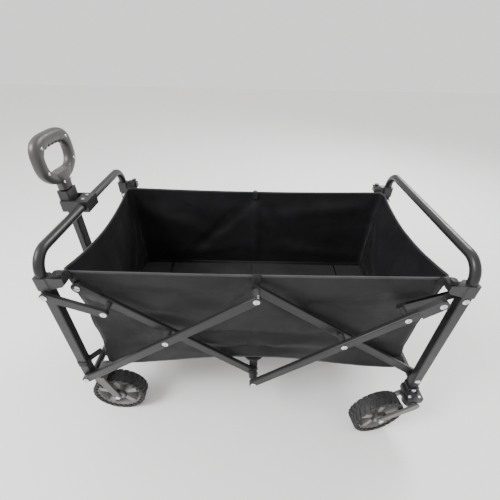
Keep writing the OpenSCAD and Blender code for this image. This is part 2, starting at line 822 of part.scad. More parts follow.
module clip_screws() {
    color(zinc) for (s = [-1, 1])
        translate([xf, s * 12, hoop_z + hoop_d / 2]) {
            cylinder(d = 4, h = clip_h / 2 - hoop_d / 2);
            translate([0, 0, clip_h / 2 - hoop_d / 2]) cylinder(d = 7.5, h = 2);
        }
}

module handle_tube() {
    color(steel) difference() {
        union() {
            stick_tube(stick_z0 + 14, stick_z1, stick_w, stick_t, tube_wall);
            translate([stick_pivot_x, 0, stick_z0]) rotate([90, 0, 0])
                linear_extrude(stick_w, center = true) union() {
                    circle(d = 20);
                    translate([-4.5, 0]) square([stick_t, 14]);
                }
        }
        translate([stick_pivot_x, 0, stick_z0]) y_rod(bolt_d + 2 * fit, -stick_w, 2 * stick_w);
        translate([stick_mid, 0, button_z]) rotate([0, -90, 0]) cylinder(d = button_hole, h = stick_t);
    }
}

button_d = 12;
button_hole = button_d + 0.6;
button_z = stick_z1 - 14;
collar_wall = 5;
module handle_collar() {
    color(plastic) difference() {
        translate([stick_mid, 0, stick_z1 - collar_h + 6]) linear_extrude(collar_h)
            round_rect(stick_t + 2 * collar_wall, collar_w, 4);
        translate([stick_mid, 0, stick_z1 - collar_h]) linear_extrude(collar_h)
            round_rect(stick_t, stick_w, 3);
        translate([stick_mid, 0, stick_z1 - collar_h]) linear_extrude(2 * collar_h)
            round_rect(rod_t + 0.6, rod_w + 0.6, 2);
        translate([stick_mid, 0, button_z]) rotate([0, -90, 0])
            cylinder(d = button_hole, h = stick_t);
    }
}

button_out = 3.5;
module lock_button() {
    color(zinc) translate([stick_mid - stick_t / 2 - 0.4, 0, button_z]) rotate([0, -90, 0])
        cylinder(d = button_d, h = collar_wall + button_out - 0.4);
}

rod_z0 = stick_z1 - pull_l - 50;
module handle_rod() {
    color(steel) stick_tube(rod_z0, grip_z0 + neck_h, rod_w, rod_t, tube_wall);
}

// D grip in two shells that meet on the plane x = stick_mid
module grip_2d() {
    r = 26;
    bar_d = 30;
    difference() {
        union() {
            translate([0, neck_h + grip_h / 2]) round_rect(grip_w, grip_h, 34);
            translate([-stick_w / 2 - 4, 0]) square([stick_w + 8, neck_h + 20]);
        }
        translate([0, neck_h + grip_h / 2 - 1]) round_rect(grip_w - 50, grip_h - bar_d - 24, r - 6);
    }
}

module grip_shell() {
    difference() {
        intersection() {
            rotate([90, 0, 90]) linear_extrude(grip_t / 2) grip_2d();
            translate([0, 0, -10]) linear_extrude(grip_h + neck_h + 20)
                round_rect(grip_t, grip_w + 2, 9);
        }
        translate([0, 0, -1]) linear_extrude(neck_h + 1)
            round_rect(rod_t, rod_w, 3);
    }
}

module grip_front() {
    color(plastic) translate([stick_mid, 0, grip_z0]) mirror([1, 0, 0]) grip_shell();
}
module grip_back() { color(plastic) translate([stick_mid, 0, grip_z0]) grip_shell(); }

front_posts();
front_hoop();
front_brackets();
front_cross_tube();
front_forks();
front_axles();
front_pivot_bolts();
handle_bracket();
handle_pin();
handle_clip();
clip_screws();
front_end_wall();
front_edge_board();
side_walls();
front_outer_bars();
front_outer_bolts();
front_inner_bars();
front_bar_caps();
front_cap_bolts();
rear_inner_bars();
rear_inner_bolts();
rear_outer_bars();
rear_bar_caps();
rear_outer_bolts();
front_links();
front_link_bolts();
rear_links();
hub_brackets();
hub_tube();
hub_pins();
support_pads();
front_floor_board();
rear_floor_board();
rear_posts();
rear_hoop();
rear_brackets();
rear_cross_tube();
caster_sockets();
rear_pivot_bolts();
rear_end_wall();
rear_edge_board();
near_caster_fork();
near_caster_axle();
far_caster_fork();
far_caster_axle();
front_near_tyre();
front_near_wheel();
front_far_tyre();
front_far_wheel();
rear_near_tyre();
rear_near_wheel();
rear_far_tyre();
rear_far_wheel();
handle_tube();
handle_collar();
handle_rod();
grip_front();
grip_back();
lock_button();
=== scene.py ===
# %% [markdown]
# # A folding camp wagon
# The steel frame, wheels and handle come from the design model, at their true size and place.
# This lesson dresses them: first the view, then the finishes, then the sewn tub and the small parts.

# %% Load the wagon's frame
import json
import math
import bmesh
import bpy
from mathutils import Matrix, Vector, noise


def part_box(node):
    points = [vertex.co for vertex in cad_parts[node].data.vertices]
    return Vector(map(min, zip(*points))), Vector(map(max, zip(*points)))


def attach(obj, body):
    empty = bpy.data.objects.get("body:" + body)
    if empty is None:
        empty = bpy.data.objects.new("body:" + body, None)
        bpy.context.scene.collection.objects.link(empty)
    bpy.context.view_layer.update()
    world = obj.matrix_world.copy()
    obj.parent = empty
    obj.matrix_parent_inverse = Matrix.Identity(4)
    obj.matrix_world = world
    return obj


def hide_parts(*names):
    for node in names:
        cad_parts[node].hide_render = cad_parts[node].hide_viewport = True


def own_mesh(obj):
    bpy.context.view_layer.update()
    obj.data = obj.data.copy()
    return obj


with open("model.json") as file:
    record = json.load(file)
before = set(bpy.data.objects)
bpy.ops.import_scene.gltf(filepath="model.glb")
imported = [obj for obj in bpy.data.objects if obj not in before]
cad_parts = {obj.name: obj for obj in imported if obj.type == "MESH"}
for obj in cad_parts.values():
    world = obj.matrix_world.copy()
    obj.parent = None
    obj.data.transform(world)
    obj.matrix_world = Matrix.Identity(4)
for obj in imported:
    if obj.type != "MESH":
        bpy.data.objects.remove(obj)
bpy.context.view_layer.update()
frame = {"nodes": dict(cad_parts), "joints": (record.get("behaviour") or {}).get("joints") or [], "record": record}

NODES = frame["nodes"]

# %% [markdown]
# ## Where things are
# A maker measures once. These places come from the frame's own parts, so the cloth, straps and
# screws land on it wherever the design puts them.

# %% Places measured on the frame
def low(node):
    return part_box(node)[0]


def high(node):
    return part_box(node)[1]


BOARD_TO_WALL = 0.004
HOOP_TUBE_R = 0.0105
MID = (low("side_walls").x + high("side_walls").x) / 2
TUB_HALF_L = high("rear_edge_board").x - MID + BOARD_TO_WALL
FLARE = high("side_walls").x - MID - TUB_HALF_L
TUB_HALF_W = high("side_walls").y
RIM_Z = high("side_walls").z
HEM_Z = low("side_walls").z
FLOOR_Z = high("front_floor_board").z
BOARD_T = FLOOR_Z - low("front_floor_board").z
FRONT_X = (low("front_posts").x + high("front_posts").x) / 2
REAR_X = (low("rear_posts").x + high("rear_posts").x) / 2
POST_Y = high("rear_hoop").y - HOOP_TUBE_R
POST_HALF_X = high("front_posts").x - FRONT_X
POST_HALF_Y = high("rear_posts").y - POST_Y
BOARD_HALF_W = high("front_floor_board").y
ENDS = ("front", "rear")
SIDES = (("near", -1), ("far", 1))
print("middle", round(MID, 4), "rim", round(RIM_Z, 3), "floor", round(FLOOR_Z, 3))

# %% [markdown]
# ## The camera
# The wagon is seen from above its near side, about 0.7 m in front of its middle, through a short
# lens. The camera is turned from three directions, forward, right and up, with a slight lean.
# The pitch looks down, the yaw looks aside, and all three angles are in degrees.

# %% Camera
def look(position, pitch, yaw, lean, lens):
    data = bpy.data.cameras.new("view")
    data.lens = lens
    data.sensor_width = 36
    camera = bpy.data.objects.new("view", data)
    bpy.context.scene.collection.objects.link(camera)
    p, y, r = math.radians(pitch), math.radians(yaw), math.radians(lean)
    forward = Vector((math.sin(y) * math.cos(p), math.cos(y) * math.cos(p), -math.sin(p)))
    right = forward.cross(Vector((0, 0, 1))).normalized()
    up = right.cross(forward)
    right, up = right * math.cos(r) + up * math.sin(r), up * math.cos(r) - right * math.sin(r)
    turn = Matrix((right, up, -forward)).transposed().to_4x4()
    camera.matrix_world = Matrix.Translation(position) @ turn
    bpy.context.scene.camera = camera


look(Vector((MID - 0.0165, -0.698, 0.923)), pitch=35.8, yaw=0.15, lean=1.14, lens=21.85)

# %% [markdown]
# ## Floor and light
# A plain pale floor and a white room give black cloth and black paint soft grey reflections,
# which is all that shows their shape. One broad lamp from the left adds a gentle shadow, and a
# second one behind the wagon lifts the far side.

# %% A pale floor
def plain_material(name, colour, rough):
    made = bpy.data.materials.new(name)
    made.use_nodes = True
    shader = made.node_tree.nodes["Principled BSDF"]
    shader.inputs["Base Color"].default_value = (*colour, 1)
    shader.inputs["Roughness"].default_value = rough
    return made


FLOOR_HALF = 6
FLOOR_DROP = 0.0005
floor_mesh = bmesh.new()
bmesh.ops.create_grid(floor_mesh, x_segments=1, y_segments=1, size=FLOOR_HALF)
bmesh.ops.translate(floor_mesh, vec=(0, 0, -FLOOR_DROP), verts=floor_mesh.verts)
floor_data = bpy.data.meshes.new("floor")
floor_mesh.to_mesh(floor_data)
floor_mesh.free()
floor = bpy.data.objects.new("floor", floor_data)
bpy.context.scene.collection.objects.link(floor)
floor.data.materials.append(plain_material("pale_floor", (0.93, 0.925, 0.92), 0.5))

# %% A white room and two lamps
def lamp(name, position, target, size, power):
    data = bpy.data.lights.new(name, "AREA")
    data.shape = "DISK"
    data.size = size
    data.energy = power
    made = bpy.data.objects.new(name, data)
    bpy.context.scene.collection.objects.link(made)
    aim = (Vector(target) - Vector(position)).to_track_quat("-Z", "Y")
    made.matrix_world = Matrix.Translation(position) @ aim.to_matrix().to_4x4()


world = bpy.data.worlds.new("white_room")
bpy.context.scene.world = world
world.use_nodes = True
world.node_tree.nodes["Background"].inputs["Color"].default_value = (1.0, 0.985, 0.965, 1)
world.node_tree.nodes["Background"].inputs["Strength"].default_value = 1.25
lamp("window", (-1.6, -0.9, 2.2), target=(0, 0, 0.25), size=1.2, power=75)
lamp("back_fill", (1.2, 1.6, 1.9), target=(0, 0, 0.3), size=1.0, power=50)

# %% [markdown]
# ## Finishes
# Each finish is a small node network. The colour and gloss vary a little over the part, as real
# paint and plastic do, and a fine bump gives the grain. Cloth gets a true over-and-under weave
# drawn on its own sewing pattern, so the yarns follow the seams.

# %% A base for every finish
FAC_LOW, FAC_HIGH = 0.3, 0.7


class Finish:
    """A material with helpers that vary its colour and gloss and add bumps."""

    def __init__(self, name, colour, rough):
        self.material = plain_material(name, colour, rough)
        self.tree = self.material.node_tree
        self.shader = self.tree.nodes["Principled BSDF"]
        self.coords = self.tree.nodes.new("ShaderNodeTexCoord")
        self.colour = colour
        self.height = None

    def node(self, kind, **values):
        made = self.tree.nodes.new("ShaderNode" + kind)
        for name, value in values.items():
            if name in made.inputs:
                made.inputs[name].default_value = value
            else:
                setattr(made, name, value)
        return made

    def join(self, out, into):
        self.tree.links.new(out, into)

    def grain(self, scale, detail=3.0):
        made = self.node("TexNoise", Scale=scale, Detail=detail)
        self.join(self.coords.outputs["Object"], made.inputs["Vector"])
        return made.outputs["Fac"]

    def vary(self, socket, fac, low_value, high_value):
        ramp = self.node("MapRange")
        ramp.inputs["From Min"].default_value = FAC_LOW
        ramp.inputs["From Max"].default_value = FAC_HIGH
        ramp.inputs["To Min"].default_value = low_value
        ramp.inputs["To Max"].default_value = high_value
        self.join(fac, ramp.inputs["Value"])
        self.join(ramp.outputs["Result"], self.shader.inputs[socket])

    def tint(self, fac, dark, light):
        ramp = self.node("ValToRGB")
        ramp.color_ramp.elements[0].position = FAC_LOW
        ramp.color_ramp.elements[1].position = FAC_HIGH
        ramp.color_ramp.elements[0].color = (*[c * dark for c in self.colour], 1)
        ramp.color_ramp.elements[1].color = (*[c * light for c in self.colour], 1)
        self.join(fac, ramp.inputs["Fac"])
        self.join(ramp.outputs["Color"], self.shader.inputs["Base Color"])

    def bump(self, fac, distance, strength):
        made = self.node("Bump", Strength=strength, Distance=distance)
        self.join(fac, made.inputs["Height"])
        if self.height:
            self.join(self.height, made.inputs["Normal"])
        self.height = made.outputs["Normal"]
        self.join(self.height, self.shader.inputs["Normal"])

    def set(self, **values):
        for name, value in values.items():
            self.shader.inputs[name.replace("_", " ")].default_value = value


# %% Paint, plastic, zinc and rubber
def powder_coat():
    f = Finish("powder_coat", (0.013, 0.013, 0.0145), 0.36)
    f.tint(f.grain(14), 0.85, 1.2)
    f.vary("Roughness", f.grain(60), 0.3, 0.42)
    f.bump(f.grain(1500, 2), 0.00012, 0.5)
    f.set(Specular_IOR_Level=0.4)
    return f.material


def moulded(name, colour, rough):
    f = Finish(name, colour, rough)
    f.tint(f.grain(18), 0.88, 1.15)
    f.vary("Roughness", f.grain(45), rough - 0.06, rough + 0.08)
    f.bump(f.grain(900, 4), 0.00015, 0.55)
    return f.material


ZINC_COLOUR = (0.74, 0.74, 0.76)


def bright_zinc():
    f = Finish("bright_zinc", ZINC_COLOUR, 0.25)
    f.tint(f.grain(120), 0.9, 1.08)
    f.vary("Roughness", f.grain(400), 0.18, 0.36)
    f.set(Metallic=1.0)
    return f.material


SPACER_Y = POST_Y - 0.0015
SPACER_HALF = 0.0222


def bolt_zinc():
    """Bright heads and nuts, with the dark spacers between the bars in the same node."""
    f = Finish("bolt_zinc", ZINC_COLOUR, 0.25)
    split = f.node("SeparateXYZ")
    f.join(f.coords.outputs["Object"], split.inputs[0])
    depth = f.node("Math", operation="ABSOLUTE")
    f.join(split.outputs["Y"], depth.inputs[0])
    away = f.node("Math", operation="COMPARE")
    away.inputs[1].default_value = SPACER_Y
    away.inputs[2].default_value = SPACER_HALF
    f.join(depth.outputs[0], away.inputs[0])
    f.tint(away.outputs[0], 1.0, 0.03)
    f.vary("Metallic", away.outputs[0], 1.0, 0.0)
    f.vary("Roughness", away.outputs[0], 0.24, 0.8)
    return f.material


def tread_rubber():
    f = Finish("tread_rubber", (0.02, 0.019, 0.02), 0.62)
    f.tint(f.grain(30), 0.7, 1.5)
    f.vary("Roughness", f.grain(90), 0.6, 0.82)
    f.bump(f.grain(1100, 4), 0.0002, 0.6)
    return f.material


# %% [markdown]
# ### Cloth
# Oxford cloth is a basket of thick yarns. A wave along each direction rounds the yarns, and a
# checker says which one lies on top, so the bump is a real weave. One yarn is about 1 mm wide,
# and a slower bump under it gives the crinkle that the coating leaves.

# %% Woven cloth
WAVES_PER_YARN = 0.314


def oxford(name, colour, rough, yarn=0.0011, crinkle=0.0006):
    f = Finish(name, colour, rough)
    waves = []
    for axis in ("X", "Y"):
        wave = f.node("TexWave", bands_direction=axis, Scale=WAVES_PER_YARN / yarn)
        f.join(f.coords.outputs["UV"], wave.inputs["Vector"])
        waves.append(wave.outputs["Fac"])
    checks = f.node("TexChecker", Scale=1 / yarn)
    f.join(f.coords.outputs["UV"], checks.inputs["Vector"])
    over = f.node("Mix", data_type="FLOAT")
    f.join(checks.outputs["Fac"], over.inputs[0])
    f.join(waves[0], over.inputs[2])
    f.join(waves[1], over.inputs[3])
    f.tint(f.grain(9, 5), 0.8, 1.3)
    f.vary("Roughness", f.grain(40), rough - 0.06, rough + 0.08)
    f.bump(f.grain(70, 5), crinkle, 0.7)
    f.bump(over.outputs[0], 0.00022, 0.55)
    f.set(Sheen_Weight=0.05, Sheen_Roughness=0.35, Specular_IOR_Level=0.24)
    return f.material


PAINT = powder_coat()
BRACKET = moulded("bracket_black", (0.014, 0.014, 0.016), 0.42)
GRIP = moulded("grip_grey", (0.045, 0.0435, 0.0435), 0.4)
FORK = moulded("fork_grey", (0.075, 0.073, 0.073), 0.4)
WHEEL = moulded("wheel_grey", (0.2, 0.195, 0.19), 0.42)
ZINC = bright_zinc()
BOLT_ZINC = bolt_zinc()
RUBBER = tread_rubber()
CLOTH = oxford("tub_cloth", (0.0105, 0.0105, 0.012), 0.42)
BOARD_CLOTH = oxford("board_cloth", (0.026, 0.0255, 0.026), 0.55, crinkle=0.0004)
BINDING = oxford("hem_binding", (0.045, 0.045, 0.048), 0.5, yarn=0.0008, crinkle=0.0002)
WEBBING = oxford("webbing", (0.014, 0.014, 0.015), 0.55, yarn=0.0016, crinkle=0.0003)

# %% [markdown]
# ## Dressing the frame's own parts
# The steel, bolts and moulded parts keep their shape. They get their finish, and where an edge is
# moulded or rolled on the real part, a narrow live bevel that catches the light.

# %% Finish each frame part
WITH_SPACERS = (
    "front_outer_bolts", "rear_inner_bolts", "rear_outer_bolts", "front_link_bolts", "hub_pins")
BY_SLOT = {
    "frame_steel": PAINT, "bracket_plastic": BRACKET, "zinc_bolts": ZINC, "tub_cloth": CLOTH,
    "wheel_plastic": WHEEL, "tread_rubber": RUBBER, "grip_plastic": GRIP}
for row in frame["record"]["subparts"]:
    node = NODES[row["node"]]
    finish = BY_SLOT[row["material_slot"]]
    if "fork" in row["node"]:
        finish = FORK
    if row["node"] in WITH_SPACERS:
        finish = BOLT_ZINC
    node.data.materials.clear()
    node.data.materials.append(finish)
print("painted", len(NODES), "parts")

# %% Soften the moulded edges
EDGES = {
    "front_brackets": 0.0012, "rear_brackets": 0.0012, "caster_sockets": 0.001,
    "front_forks": 0.001, "near_caster_fork": 0.001, "far_caster_fork": 0.001,
    "handle_clip": 0.001, "handle_collar": 0.001, "handle_bracket": 0.001, "hub_brackets": 0.0006,
    "front_bar_caps": 0.0006, "rear_bar_caps": 0.0006, "support_pads": 0.001,
    "front_near_wheel": 0.0008, "front_far_wheel": 0.0008,
    "rear_near_wheel": 0.0008, "rear_far_wheel": 0.0008}
for name, width in EDGES.items():
    weld = NODES[name].modifiers.new("weld", "WELD")
    weld.merge_threshold = 0.00001
    flat = NODES[name].modifiers.new("flat", "DECIMATE")
    flat.decimate_type = "DISSOLVE"
    flat.angle_limit = math.radians(0.5)
    edge = NODES[name].modifiers.new("edge", "BEVEL")
    edge.width = width
    edge.segments = 2
    edge.limit_method = "ANGLE"
    edge.angle_limit = math.radians(40)
print("softened", len(EDGES), "parts")

# %% [markdown]
# ## How a piece is finished
# Every new piece goes through one door: its mesh is cleaned, shaded, painted and tied to the part
# of the wagon that carries it, so that it moves with that part when the wagon folds.

# %% Put a mesh on the wagon
def put(name, shape, body, material, sharp=35, thick=0.0, smooth=0):
    """Clean and finish a mesh, and tie it to the body of the wagon that carries it."""
    bmesh.ops.remove_doubles(shape, verts=shape.verts, dist=0.00002)
    bmesh.ops.recalc_face_normals(shape, faces=shape.faces)
    data = bpy.data.meshes.new(name)
    shape.to_mesh(data)
    shape.free()
    data.shade_smooth()
    if sharp:
        data.set_sharp_from_angle(angle=math.radians(sharp))
    made = bpy.data.objects.new(name, data)
    bpy.context.scene.collection.objects.link(made)
    data.materials.append(material)
    if smooth:
        sub = made.modifiers.new("smooth", "SUBSURF")
        sub.levels = sub.render_levels = smooth
    if thick:
        wall = made.modifiers.new("cloth", "SOLIDIFY")
        wall.thickness = thick
        wall.offset = 0
    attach(made, body)
    print("made", name, len(data.polygons), "faces")
    return made


# %% [markdown]
# ## The sewn tub
# The tub is one long band of coated cloth, sewn round a base. A flat grid stands for the cut
# cloth: its width is the way round the tub and its height is the wall. Bending the grid round the
# tub keeps the sewing pattern as the texture map, so the weave follows the cloth.

# %% The way round the tub
SIDE_RUN = TUB_HALF_L - 0.001
END_RUN = TUB_HALF_W - 0.002
TUB_CORNER = 0.016
TUB_RUNS = [2 * (SIDE_RUN - TUB_CORNER), math.pi * TUB_CORNER / 2,
            2 * (END_RUN - TUB_CORNER), math.pi * TUB_CORNER / 2] * 2
TUB_ROUND = sum(TUB_RUNS)


def round_tub(share):
    """The place on the tub's outline, and the way out from it, for a share of the way round."""
    left = share * TUB_ROUND
    k = 0
    while left > TUB_RUNS[k] and k < len(TUB_RUNS) - 1:
        left -= TUB_RUNS[k]
        k += 1
    side = k // 2
    run, off = (SIDE_RUN, END_RUN) if side % 2 == 0 else (END_RUN, SIDE_RUN)
    run -= TUB_CORNER
    if k % 2 == 0:
        place, out = Vector((left - run, -off)), Vector((0, -1))
    else:
        a = left / TUB_CORNER
        out = Vector((math.sin(a), -math.cos(a)))
        place = Vector((run, TUB_CORNER - off)) + out * TUB_CORNER
    turn = Matrix.Rotation(side * math.pi / 2, 2)
    return turn @ place + Vector((MID, 0)), turn @ out


print("round the tub", round(TUB_ROUND, 3))

# %% [markdown]
# ### Folds
# Coated cloth doesn't hang flat. It is pulled tight from the corner brackets to the hub and goes
# slack between, so it breaks into long soft creases. Each crease is a line on the wall with a
# width and a depth, and a slow noise adds the rest.

# %% Creases of the walls
# Each is (along, height, along, height, width, depth) in metres, a negative depth standing out.
NEAR_CREASES = [
    (-0.36, 0.45, -0.02, 0.405, 0.022, 0.011), (-0.10, 0.46, -0.30, 0.36, 0.016, -0.004),
    (0.03, 0.45, 0.33, 0.34, 0.022, 0.010), (-0.24, 0.30, 0.22, 0.292, 0.012, 0.011),
    (-0.20, 0.268, 0.18, 0.262, 0.010, -0.004), (-0.17, 0.248, 0.20, 0.244, 0.010, 0.010),
    (0.0, 0.47, -0.09, 0.33, 0.011, 0.008), (0.0, 0.47, 0.12, 0.36, 0.011, 0.007),
    (-0.33, 0.40, -0.12, 0.33, 0.013, 0.007), (0.10, 0.40, 0.30, 0.44, 0.013, 0.006),
    (-0.06, 0.225, 0.00, 0.272, 0.009, 0.008), (0.06, 0.225, 0.00, 0.272, 0.009, 0.008),
    (-0.38, 0.24, -0.14, 0.30, 0.018, 0.006), (0.38, 0.25, 0.16, 0.31, 0.018, 0.006),
    (-0.36, 0.36, -0.26, 0.23, 0.022, 0.005), (0.30, 0.44, 0.37, 0.24, 0.026, 0.006)]
FAR_CREASES = [
    (0.0, 0.49, -0.24, 0.25, 0.016, -0.009), (0.0, 0.49, 0.20, 0.24, 0.016, -0.007),
    (0.0, 0.50, 0.01, 0.24, 0.012, 0.007), (-0.37, 0.44, -0.12, 0.33, 0.030, 0.007),
    (0.10, 0.42, 0.36, 0.46, 0.024, 0.006), (-0.34, 0.25, -0.06, 0.29, 0.020, 0.006),
    (0.06, 0.29, 0.36, 0.26, 0.020, 0.006)]
END_CREASES = [
    (-0.18, 0.46, -0.02, 0.26, 0.026, 0.007), (0.18, 0.46, 0.04, 0.25, 0.026, 0.008),
    (-0.16, 0.25, 0.16, 0.262, 0.014, 0.005), (0.02, 0.44, 0.0, 0.30, 0.018, -0.004)]


def crease_depth(along, z, creases):
    total = 0.0
    here = Vector((along, z))
    for x0, z0, x1, z1, width, depth in creases:
        start, way = Vector((x0, z0)), Vector((x1 - x0, z1 - z0))
        t = (here - start).dot(way) / way.length_squared
        held = min(1, max(0, t))
        gap = (here - start - way * held).length
        total += depth * math.exp(-((gap / width) ** 2)) * (0.35 + 0.65 * math.sin(math.pi * held))
    return total


def eased(value, start, end):
    t = min(1, max(0, (value - start) / (end - start)))
    return t * t * (3 - 2 * t)


# %% The shape of the hung wall
OVER_PAD = 0.038
NEAR_SAG, FAR_SAG, END_SAG = 0.007, 0.004, 0.022
HEM_MID_Z = FLOOR_Z - BOARD_T + 0.003
WALL_BULGE = 0.004
END_HOLLOW = 0.006
CORNER_SPREAD = 0.005
MOST_OUT = 0.0025


def wall_edges(place, out):
    """Heights of the wall's top and bottom edge at a place on the outline."""
    u, w = abs(place.x - MID) / SIDE_RUN, abs(place.y) / END_RUN
    side, end = out.y ** 2, out.x ** 2
    sag = FAR_SAG if place.y > 0 else NEAR_SAG
    top = RIM_Z - side * sag * math.cos(math.pi / 2 * u) - end * END_SAG * (1 - w ** 2)
    drop = eased(u * SIDE_RUN, OVER_PAD, SIDE_RUN * 0.92)
    bottom = HEM_MID_Z + (HEM_Z - HEM_MID_Z) * (drop * side + end)
    return top, bottom


def hung_wall(share, up):
    """The cloth's place, from its share of the way round and its share of the height."""
    place, out = round_tub(share)
    top, bottom = wall_edges(place, out)
    z = bottom + (top - bottom) * up
    side, end = out.y ** 2, out.x ** 2
    creases = NEAR_CREASES if place.y < 0 else FAR_CREASES
    inward = side * crease_depth(place.x - MID, z, creases)
    inward += end * crease_depth(place.y * (1 if place.x < MID else -1), z, END_CREASES)
    inward += 0.0028 * noise.noise(Vector((place.x * 9, place.y * 9, z * 15)))
    inward += 0.0012 * noise.noise(Vector((place.x * 30, place.y * 30, z * 44)))
    inward += WALL_BULGE * math.sin(math.pi * min(1, up * 1.1)) * (side + 2.2 * end)
    inward *= eased(RIM_Z - z, -0.012, 0.05) * (0.45 + 0.55 * eased(z, FLOOR_Z, FLOOR_Z + 0.05))
    inward += end * END_HOLLOW * (1 - (place.y / END_RUN) ** 2) * eased(z, FLOOR_Z, RIM_Z)
    inward = max(-MOST_OUT, inward)
    lean = max(0.0, (z - FLOOR_Z) / (RIM_Z - FLOOR_Z)) ** 1.5
    wide = 1 + lean * FLARE * abs((place.x - MID) / SIDE_RUN) ** 2 / SIDE_RUN
    deep = 1 + lean * CORNER_SPREAD * abs((place.x - MID) / SIDE_RUN) ** 2 / END_RUN
    return Vector((MID + (place.x - MID) * wide - out.x * inward,
                   place.y * deep - out.y * inward, z))


# %% A grid of cloth bent to a shape
def cloth(columns, rows, width, height, bend):
    """A flat grid with its cut size as the texture map, bent into place."""
    shape = bmesh.new()
    cut = shape.loops.layers.uv.new("cut")
    bmesh.ops.create_grid(shape, x_segments=columns, y_segments=rows, size=1)
    for face in shape.faces:
        for loop in face.loops:
            x, y = loop.vert.co.x / 2 + 0.5, loop.vert.co.y / 2 + 0.5
            loop[cut].uv = (x * width, y * height)
    for vert in shape.verts:
        vert.co = bend(vert.co.x / 2 + 0.5, vert.co.y / 2 + 0.5)
    return shape


def gather(made):
    """Gives the cloth its own copy of its mesh."""
    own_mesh(made)


def sew(name, shape, thick, material=CLOTH, body="front_frame"):
    """A finished piece of cloth, with its thickness, on a body of the wagon."""
    return put(name, shape, body, material, sharp=0, thick=thick, smooth=1)


# %% The walls
WALL_H = RIM_Z - HEM_Z
CLOTH_T = 0.0014
ROUND_STEPS, UP_STEPS = 236, 30
walls = sew("tub_walls", cloth(ROUND_STEPS, UP_STEPS, TUB_ROUND, WALL_H, hung_wall), CLOTH_T)
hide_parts("side_walls", "front_end_wall", "rear_end_wall")

# %% [markdown]
# ### Bindings and seams
# A folded tape binds the raw edges at the top and bottom, and a piped seam runs down each corner.
# They are narrow strips of the same bent cloth, a little thicker, so they lie exactly on it.

# %% Edge bindings
def strip_near(edge, tall, inside):
    """A bend like the wall's, kept within a small height of its top or bottom edge."""
    def bend(share, up):
        place, out = round_tub(share)
        top, bottom = wall_edges(place, out)
        over = (tall * up - inside) / (top - bottom)
        return hung_wall(share, 1 + over if edge == "top" else over)
    return bend


BINDING_H, BINDING_T, PAST_EDGE = 0.005, 0.0028, 0.001
bindings = []
for edge, name, inside in (("top", "top_binding", BINDING_H - PAST_EDGE),
                           ("bottom", "hem_binding", PAST_EDGE)):
    tape = cloth(ROUND_STEPS, 3, TUB_ROUND, BINDING_H, strip_near(edge, BINDING_H, inside))
    bindings.append(sew(name, tape, BINDING_T, BINDING))

# %% Corner seams
def corner_share(number):
    """The share of the way round at the middle of a corner."""
    before = sum(TUB_RUNS[:2 * number + 1])
    return (before + TUB_RUNS[2 * number + 1] / 2) / TUB_ROUND


SEAM_W, SEAM_T = 0.008, 0.003
seams = []
for corner, label in enumerate(("near_rear", "far_rear", "far_front", "near_front")):
    centre = corner_share(corner)

    def seam_bend(across, up, centre=centre):
        return hung_wall(centre + (across - 0.5) * SEAM_W / TUB_ROUND, up)

    pipe = cloth(2, UP_STEPS, SEAM_W, WALL_H, seam_bend)
    seams.append(sew("seam_" + label, pipe, SEAM_T, BINDING))

# %% [markdown]
# ### The base
# The base lies under the boards and sinks a little towards the walls, where it turns up into a
# lip that is sewn to them. Its grid is drawn closer together near the edges, so the lip bends
# round and not in one step.

# %% The base under the boards
LIP_H = 0.012


def base_bend(along, across):
    u, w = [math.copysign(1 - (1 - abs(t * 2 - 1)) ** 2, t - 0.5) for t in (along, across)]
    x, y = u * (SIDE_RUN - 0.001), w * (END_RUN - 0.001)
    sag = (FLOOR_Z - BOARD_T - 0.002 - HEM_Z - 0.004) * eased(abs(x), 0.06, SIDE_RUN)
    wave = 0.002 * noise.noise(Vector((u * 6, w * 4, 3.1)))
    z = FLOOR_Z - BOARD_T - 0.0016 - sag + min(0, wave - 0.0008)
    lip = eased(abs(y), BOARD_HALF_W + 0.0015, END_RUN - 0.002)
    return Vector((MID + x, y, z + lip * (LIP_H + sag)))


base = sew("tub_base", cloth(70, 30, 2 * SIDE_RUN, 2 * END_RUN, base_bend), CLOTH_T)

# %% Give each sewn piece of the tub its own mesh
# The curved rim and hem leave the wall lower than its full height. This average is an estimate.
for sewn in (walls, base, *bindings, *seams):
    gather(sewn)

# %% [markdown]
# ### Webbing
# Straps hold the tub to the frame. A tab at each top corner lies over the bracket's arm, a loop
# goes round each front post low down, and a short loop hangs over the middle of each long rim. A
# strap is a narrow cloth bent along a line of points.

# %% Straps
def strap(name, points, width, across, body, thick=0.0012):
    """A strap through the points, as wide as width along the direction across."""
    line = [Vector(p) for p in points]

    def bend(along, side):
        at = along * (len(line) - 1)
        k = min(int(at), len(line) - 2)
        here = line[k].lerp(line[k + 1], at - k)
        return here + Vector(across) * width * (side - 0.5)

    long = sum((b - a).length for a, b in zip(line, line[1:]))
    shape = cloth(4 * (len(line) - 1), 3, long, width, bend)
    return sew(name, shape, thick, WEBBING, body)


# %% A tab at each top corner
ARM_TOP = high("front_brackets").z - 0.010
TAB_W, TAB_T = 0.022, 0.0022
for end, x in (("front", FRONT_X + 0.031), ("rear", REAR_X - 0.040)):
    for side, s in SIDES:
        over_the_arm = [
            (x, s * (TUB_HALF_W + 0.0035), RIM_Z - 0.022),
            (x, s * (TUB_HALF_W + 0.0045), RIM_Z - 0.004),
            (x, s * (TUB_HALF_W + 0.009), ARM_TOP - 0.002),
            (x, s * (TUB_HALF_W + 0.018), ARM_TOP + 0.003),
            (x, s * (POST_Y - 0.008), ARM_TOP + 0.0035),
            (x, s * (POST_Y + 0.007), ARM_TOP + 0.003)]
        strap(f"{end}_{side}_corner_tab", over_the_arm, TAB_W, (1, 0, 0), end + "_frame", TAB_T)

